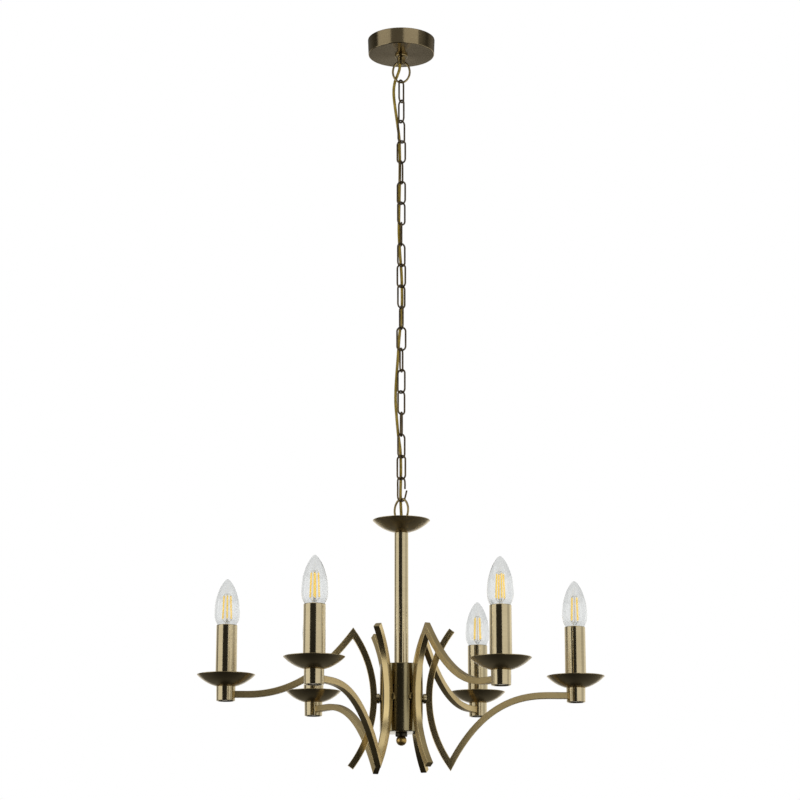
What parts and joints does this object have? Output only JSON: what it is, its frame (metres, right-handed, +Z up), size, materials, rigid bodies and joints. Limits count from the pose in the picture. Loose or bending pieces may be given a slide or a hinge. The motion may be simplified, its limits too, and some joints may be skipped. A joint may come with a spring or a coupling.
{
  "type": "multi arm chandelier",
  "caption": "Candle chandelier with bowed square-bar arms round a drum hub, drip dishes, candle sleeves and pointed clear bulbs, hung from a ceiling rose by a link chain and flex.",
  "frame": {"origin": "centre of the ceiling bracket's top face, on the ceiling plane; everything hangs below it", "axes": "+Z up along the stem and chain, -Y towards the viewer, +X to the viewer's right"},
  "size_m": [0.5616, 0.506, 1.0642],
  "materials": {
    "antique_brass": "satin antique brass, brushed",
    "golden_brass": "polished, lacquered",
    "chain_bronze": "dark bronze plating, edges worn lighter",
    "zinc_steel": "zinc plated",
    "cable_gold": "satin transparent gold sheath",
    "holder_plastic": "satin",
    "bulb_glass": "clear"
  },
  "bodies": {
    "ceiling": {"ceiling_bracket": "zinc_steel", "rose_cover": "antique_brass", "rose_loop": "golden_brass", "supply_cable": "cable_gold"},
    "ring_upper": {"ring_upper": "golden_brass"},
    "link_01": {"chain_link_01": "chain_bronze"},
    "link_02": {"chain_link_02": "chain_bronze"},
    "link_03": {"chain_link_03": "chain_bronze"},
    "link_04": {"chain_link_04": "chain_bronze"},
    "link_05": {"chain_link_05": "chain_bronze"},
    "link_06": {"chain_link_06": "chain_bronze"},
    "link_07": {"chain_link_07": "chain_bronze"},
    "link_08": {"chain_link_08": "chain_bronze"},
    "link_09": {"chain_link_09": "chain_bronze"},
    "link_10": {"chain_link_10": "chain_bronze"},
    "link_11": {"chain_link_11": "chain_bronze"},
    "link_12": {"chain_link_12": "chain_bronze"},
    "link_13": {"chain_link_13": "chain_bronze"},
    "link_14": {"chain_link_14": "chain_bronze"},
    "link_15": {"chain_link_15": "chain_bronze"},
    "link_16": {"chain_link_16": "chain_bronze"},
    "link_17": {"chain_link_17": "chain_bronze"},
    "link_18": {"chain_link_18": "chain_bronze"},
    "link_19": {"chain_link_19": "chain_bronze"},
    "link_20": {"chain_link_20": "chain_bronze"},
    "ring_lower": {"ring_lower": "golden_brass"},
    "fixture": {"stem": "antique_brass", "stem_dish": "antique_brass", "hub": "antique_brass", "finial": "golden_brass", "arm_1": "antique_brass", "drip_dish_1": "antique_brass", "lampholder_1": "holder_plastic", "candle_sleeve_1": "antique_brass", "arm_2": "antique_brass", "drip_dish_2": "antique_brass", "lampholder_2": "holder_plastic", "candle_sleeve_2": "antique_brass", "arm_3": "antique_brass", "drip_dish_3": "antique_brass", "lampholder_3": "holder_plastic", "candle_sleeve_3": "antique_brass", "arm_4": "antique_brass", "drip_dish_4": "antique_brass", "lampholder_4": "holder_plastic", "candle_sleeve_4": "antique_brass", "arm_5": "antique_brass", "drip_dish_5": "antique_brass", "lampholder_5": "holder_plastic", "candle_sleeve_5": "antique_brass", "arm_6": "antique_brass", "drip_dish_6": "antique_brass", "lampholder_6": "holder_plastic", "candle_sleeve_6": "antique_brass"},
    "bulb_1": {"bulb_1": "bulb_glass"},
    "bulb_2": {"bulb_2": "bulb_glass"},
    "bulb_3": {"bulb_3": "bulb_glass"},
    "bulb_4": {"bulb_4": "bulb_glass"},
    "bulb_5": {"bulb_5": "bulb_glass"},
    "bulb_6": {"bulb_6": "bulb_glass"}
  },
  "joints": [
    {"name": "ring_upper_swing", "type": "hinge", "parent": "ceiling", "child": "ring_upper", "pos_m": [0, 0, -0.0333], "axis": [1, 0, 0], "range_deg": [-20, 20], "deforming": ["supply_cable"]},
    {"name": "link_01_swing", "type": "hinge", "parent": "ring_upper", "child": "link_01", "pos_m": [0, 0, -0.0657], "axis": [-1, 0, 0], "range_deg": [-20, 20]},
    {"name": "link_02_swing", "type": "hinge", "parent": "link_01", "child": "link_02", "pos_m": [0, 0, -0.09665], "axis": [0.5299, 0.848, 0], "range_deg": [-20, 20]},
    {"name": "link_03_swing", "type": "hinge", "parent": "link_02", "child": "link_03", "pos_m": [0, 0, -0.12785], "axis": [-0.5878, 0.809, 0], "range_deg": [-20, 20]},
    {"name": "link_04_swing", "type": "hinge", "parent": "link_03", "child": "link_04", "pos_m": [0, 0, -0.15905], "axis": [0.7431, 0.6691, 0], "range_deg": [-20, 20]},
    {"name": "link_05_swing", "type": "hinge", "parent": "link_04", "child": "link_05", "pos_m": [0, 0, -0.19025], "axis": [-0.9397, 0.342, 0], "range_deg": [-20, 20]},
    {"name": "link_06_swing", "type": "hinge", "parent": "link_05", "child": "link_06", "pos_m": [0, 0, -0.22145], "axis": [0.309, 0.9511, 0], "range_deg": [-20, 20]},
    {"name": "link_07_swing", "type": "hinge", "parent": "link_06", "child": "link_07", "pos_m": [0, 0, -0.25265], "axis": [-0.9135, 0.4067, 0], "range_deg": [-20, 20]},
    {"name": "link_08_swing", "type": "hinge", "parent": "link_07", "child": "link_08", "pos_m": [0, 0, -0.28385], "axis": [0.829, 0.5592, 0], "range_deg": [-20, 20]},
    {"name": "link_09_swing", "type": "hinge", "parent": "link_08", "child": "link_09", "pos_m": [0, 0, -0.31505], "axis": [-0.0698, 0.9976, 0], "range_deg": [-20, 20]},
    {"name": "link_10_swing", "type": "hinge", "parent": "link_09", "child": "link_10", "pos_m": [0, 0, -0.34625], "axis": [0.8192, 0.5736, 0], "range_deg": [-20, 20]},
    {"name": "link_11_swing", "type": "hinge", "parent": "link_10", "child": "link_11", "pos_m": [0, 0, -0.37745], "axis": [-0.9336, 0.3584, 0], "range_deg": [-20, 20]},
    {"name": "link_12_swing", "type": "hinge", "parent": "link_11", "child": "link_12", "pos_m": [0, 0, -0.40865], "axis": [0.7986, 0.6018, 0], "range_deg": [-20, 20]},
    {"name": "link_13_swing", "type": "hinge", "parent": "link_12", "child": "link_13", "pos_m": [0, 0, -0.43985], "axis": [-0.3746, 0.9272, 0], "range_deg": [-20, 20]},
    {"name": "link_14_swing", "type": "hinge", "parent": "link_13", "child": "link_14", "pos_m": [0, 0, -0.47105], "axis": [1, 0, 0], "range_deg": [-20, 20]},
    {"name": "link_15_swing", "type": "hinge", "parent": "link_14", "child": "link_15", "pos_m": [0, 0, -0.50225], "axis": [-0.309, -0.9511, 0], "range_deg": [-20, 20]},
    {"name": "link_16_swing", "type": "hinge", "parent": "link_15", "child": "link_16", "pos_m": [0, 0, -0.53345], "axis": [0.809, -0.5878, 0], "range_deg": [-20, 20]},
    {"name": "link_17_swing", "type": "hinge", "parent": "link_16", "child": "link_17", "pos_m": [0, 0, -0.56465], "axis": [-0.7431, -0.6691, 0], "range_deg": [-20, 20]},
    {"name": "link_18_swing", "type": "hinge", "parent": "link_17", "child": "link_18", "pos_m": [0, 0, -0.59585], "axis": [0.1736, -0.9848, 0], "range_deg": [-20, 20]},
    {"name": "link_19_swing", "type": "hinge", "parent": "link_18", "child": "link_19", "pos_m": [0, 0, -0.62705], "axis": [-0.7771, -0.6293, 0], "range_deg": [-20, 20]},
    {"name": "link_20_swing", "type": "hinge", "parent": "link_19", "child": "link_20", "pos_m": [0, 0, -0.65825], "axis": [0.9272, -0.3746, 0], "range_deg": [-20, 20]},
    {"name": "ring_lower_swing", "type": "hinge", "parent": "link_20", "child": "ring_lower", "pos_m": [0, 0, -0.68945], "axis": [-0.829, -0.5592, 0], "range_deg": [-20, 20]},
    {"name": "fixture_swing", "type": "hinge", "parent": "ring_lower", "child": "fixture", "pos_m": [0, 0, -0.7187], "axis": [0.766, -0.6428, 0], "range_deg": [-20, 20]},
    {"name": "bulb_1_removal", "type": "slide", "parent": "fixture", "child": "bulb_1", "axis": [0, 0, 1], "range_m": [0, 0.036]},
    {"name": "bulb_2_removal", "type": "slide", "parent": "fixture", "child": "bulb_2", "axis": [0, 0, 1], "range_m": [0, 0.036]},
    {"name": "bulb_3_removal", "type": "slide", "parent": "fixture", "child": "bulb_3", "axis": [0, 0, 1], "range_m": [0, 0.036]},
    {"name": "bulb_4_removal", "type": "slide", "parent": "fixture", "child": "bulb_4", "axis": [0, 0, 1], "range_m": [0, 0.036]},
    {"name": "bulb_5_removal", "type": "slide", "parent": "fixture", "child": "bulb_5", "axis": [0, 0, 1], "range_m": [0, 0.036]},
    {"name": "bulb_6_removal", "type": "slide", "parent": "fixture", "child": "bulb_6", "axis": [0, 0, 1], "range_m": [0, 0.036]}
  ]
}
